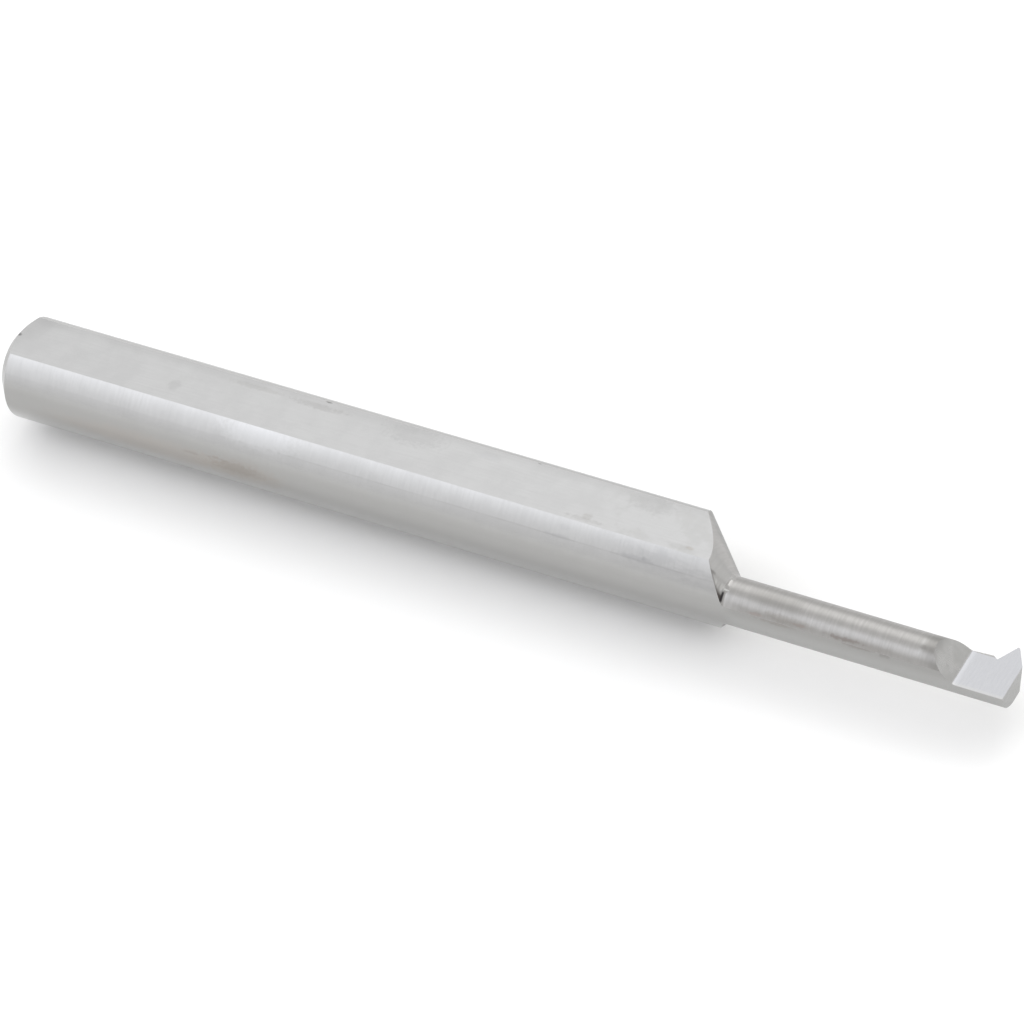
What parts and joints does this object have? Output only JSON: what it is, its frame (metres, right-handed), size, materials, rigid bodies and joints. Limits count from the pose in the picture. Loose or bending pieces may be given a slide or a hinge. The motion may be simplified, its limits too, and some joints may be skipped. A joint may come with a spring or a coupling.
{
  "type": "internal threading tool",
  "caption": "Solid carbide bar for threading inside small bores: round shank with a full-length flat, slim offset neck and a single 60 degree thread point.",
  "frame": {"origin": "on the shank's axis, at the rear face", "axes": "+X along the shank's axis towards the tip, +Z square to the flat and the rake face, +Y towards the side that the thread point cuts on"},
  "size_m": [0.0508, 0.0048, 0.0044],
  "materials": {
    "ground_carbide": "fine ground, bright"
  },
  "bodies": {
    "root": {"threading_bar": "ground_carbide"}
  },
  "joints": []
}
